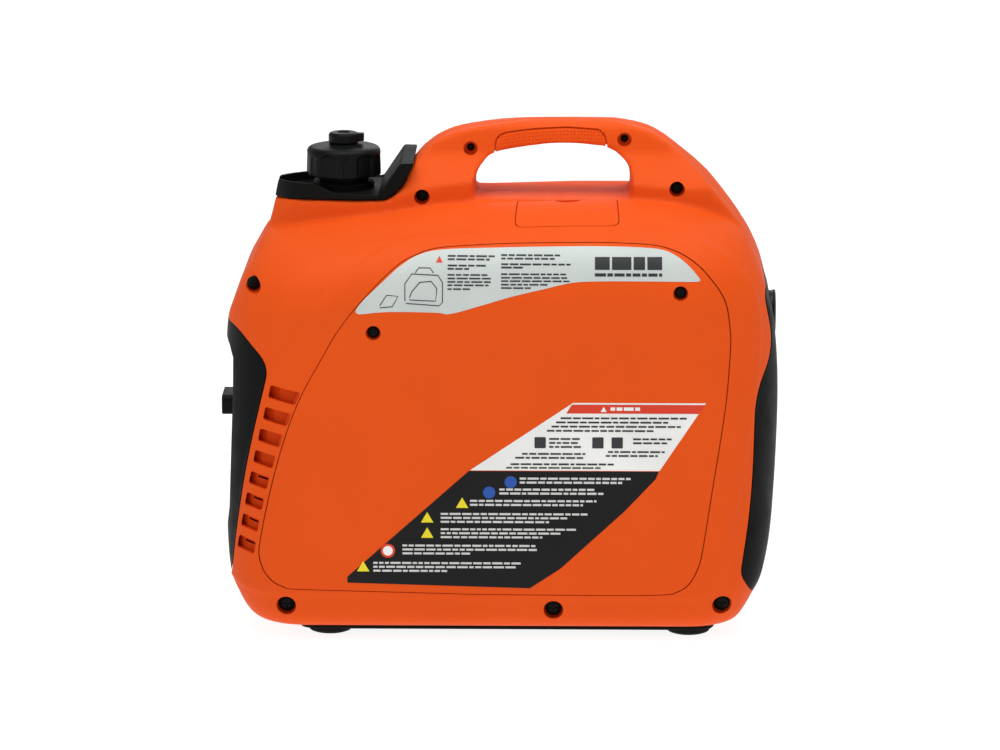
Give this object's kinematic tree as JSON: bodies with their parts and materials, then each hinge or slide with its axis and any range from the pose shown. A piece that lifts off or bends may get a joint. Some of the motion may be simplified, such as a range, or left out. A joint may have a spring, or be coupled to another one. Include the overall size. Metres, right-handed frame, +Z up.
{
  "type": "portable inverter generator",
  "caption": "Suitcase inverter generator: moulded shells with a carrying handle, service cover, fuel cap, control panel, recoil start, engine and inverter.",
  "frame": {"origin": "centre of the footprint, on the floor under the feet", "axes": "+Z up, +X towards the louvred exhaust end, -Y towards the side with the large service cover"},
  "size_m": [0.5, 0.29, 0.452],
  "materials": {
    "orange_shell": "fine moulded texture",
    "black_plastic": "textured",
    "red_button": "smooth",
    "lens": "clear tinted",
    "pale_plastic": "satin",
    "rubber": "matt",
    "steel": "brushed",
    "dark_steel": "satin black",
    "cast_aluminium": "as cast",
    "winding": "varnished copper"
  },
  "bodies": {
    "frame": {"rear_shell": "orange_shell", "front_shell": "orange_shell", "control_cap": "black_plastic", "control_panel": "black_plastic", "exhaust_cap": "black_plastic", "exhaust_outlet": "dark_steel", "tank_surround": "black_plastic", "base_tray": "black_plastic", "foot_rear_left": "rubber", "foot_rear_right": "rubber", "foot_front_left": "rubber", "foot_front_right": "rubber", "fuel_tank": "black_plastic", "ac_outlet_1": "black_plastic", "ac_outlet_2": "black_plastic", "dc_socket": "black_plastic", "output_lamp": "lens", "overload_lamp": "lens", "oil_lamp": "lens", "ground_stud": "steel", "engine_mount_1": "rubber", "engine_mount_2": "rubber", "engine_mount_3": "rubber", "engine_mount_4": "rubber", "crankcase": "cast_aluminium", "cylinder": "cast_aluminium", "cylinder_head": "cast_aluminium", "valve_cover": "dark_steel", "spark_plug": "steel", "spark_plug_cap": "rubber", "oil_plug": "black_plastic", "carburettor": "cast_aluminium", "air_filter_case": "black_plastic", "muffler": "steel", "stator": "winding", "fan_shroud": "black_plastic", "starter_housing": "dark_steel", "rope_inside": "rubber", "grip_pocket": "black_plastic", "inverter": "cast_aluminium", "fuel_hose": "rubber", "ignition_coil": "dark_steel"},
    "service_cover": {"service_panel": "orange_shell", "panel_screw_1": "steel", "panel_screw_2": "steel"},
    "hatch": {"spark_plug_hatch": "orange_shell"},
    "cap_core": {"fuel_cap_core": "black_plastic"},
    "cap_shell": {"fuel_cap": "black_plastic"},
    "vent": {"vent_lever": "black_plastic"},
    "switch_knob": {"engine_switch": "black_plastic"},
    "eco_rocker": {"eco_switch": "black_plastic"},
    "ac_reset": {"ac_breaker": "red_button"},
    "dc_reset": {"dc_breaker": "red_button"},
    "wing_nut": {"ground_nut": "steel"},
    "starter_handle": {"recoil_grip": "black_plastic", "rope_outside": "rubber"},
    "pulley": {"starter_pulley": "pale_plastic"},
    "crank": {"crankshaft": "steel", "rotor": "dark_steel", "fan": "black_plastic"}
  },
  "joints": [
    {"name": "service_cover_off", "type": "slide", "parent": "frame", "child": "service_cover", "axis": [0, -1, 0], "range_m": [0, 0.25]},
    {"name": "hatch_open", "type": "hinge", "parent": "frame", "child": "hatch", "pos_m": [0.061, -0.1008, 0.3734], "axis": [1, 0, 0], "range_deg": [0, 60]},
    {"name": "fuel_cap_lift", "type": "slide", "parent": "frame", "child": "cap_core", "axis": [0, 0, 1], "range_m": [0, 0.08]},
    {"name": "fuel_cap_turn", "type": "hinge", "parent": "cap_core", "child": "cap_shell", "pos_m": [-0.141, 0, 0.41], "axis": [0, 0, 1], "range_deg": [0, 120]},
    {"name": "vent_lever_turn", "type": "hinge", "parent": "cap_shell", "child": "vent", "pos_m": [-0.141, 0, 0.43], "axis": [0, 0, 1], "range_deg": [0, 90]},
    {"name": "engine_switch_turn", "type": "hinge", "parent": "frame", "child": "switch_knob", "pos_m": [-0.236, -0.034, 0.197], "axis": [1, 0, 0], "range_deg": [0, 90]},
    {"name": "eco_switch_tip", "type": "hinge", "parent": "frame", "child": "eco_rocker", "pos_m": [-0.23, 0.044, 0.196], "axis": [0, 1, 0], "range_deg": [0, 12]},
    {"name": "ac_breaker_push", "type": "slide", "parent": "frame", "child": "ac_reset", "axis": [1, 0, 0], "range_m": [0, 0.002], "stiffness_N_per_m": 500, "springref_m": -0.002},
    {"name": "dc_breaker_push", "type": "slide", "parent": "frame", "child": "dc_reset", "axis": [1, 0, 0], "range_m": [0, 0.002], "stiffness_N_per_m": 500, "springref_m": -0.002},
    {"name": "ground_nut_turn", "type": "hinge", "parent": "frame", "child": "wing_nut", "pos_m": [-0.241, 0.052, 0.084], "axis": [-1, 0, 0], "continuous": true},
    {"name": "starter_pull", "type": "slide", "parent": "frame", "child": "starter_handle", "axis": [0, 1, 0], "range_m": [0, 0.5], "stiffness_N_per_m": 20, "springref_m": -0.25},
    {"name": "pulley_turn", "type": "hinge", "parent": "frame", "child": "pulley", "pos_m": [0.06, 0.107, 0.115], "axis": [0, -1, 0], "range_deg": [0, 1070]},
    {"name": "crank_turn", "type": "hinge", "parent": "frame", "child": "crank", "pos_m": [0.06, 0.02, 0.115], "axis": [0, 1, 0], "continuous": true}
  ],
  "couplings": [
    {"joint": "pulley_turn", "follows": "starter_pull", "rad_per_m": 37.037}
  ]
}
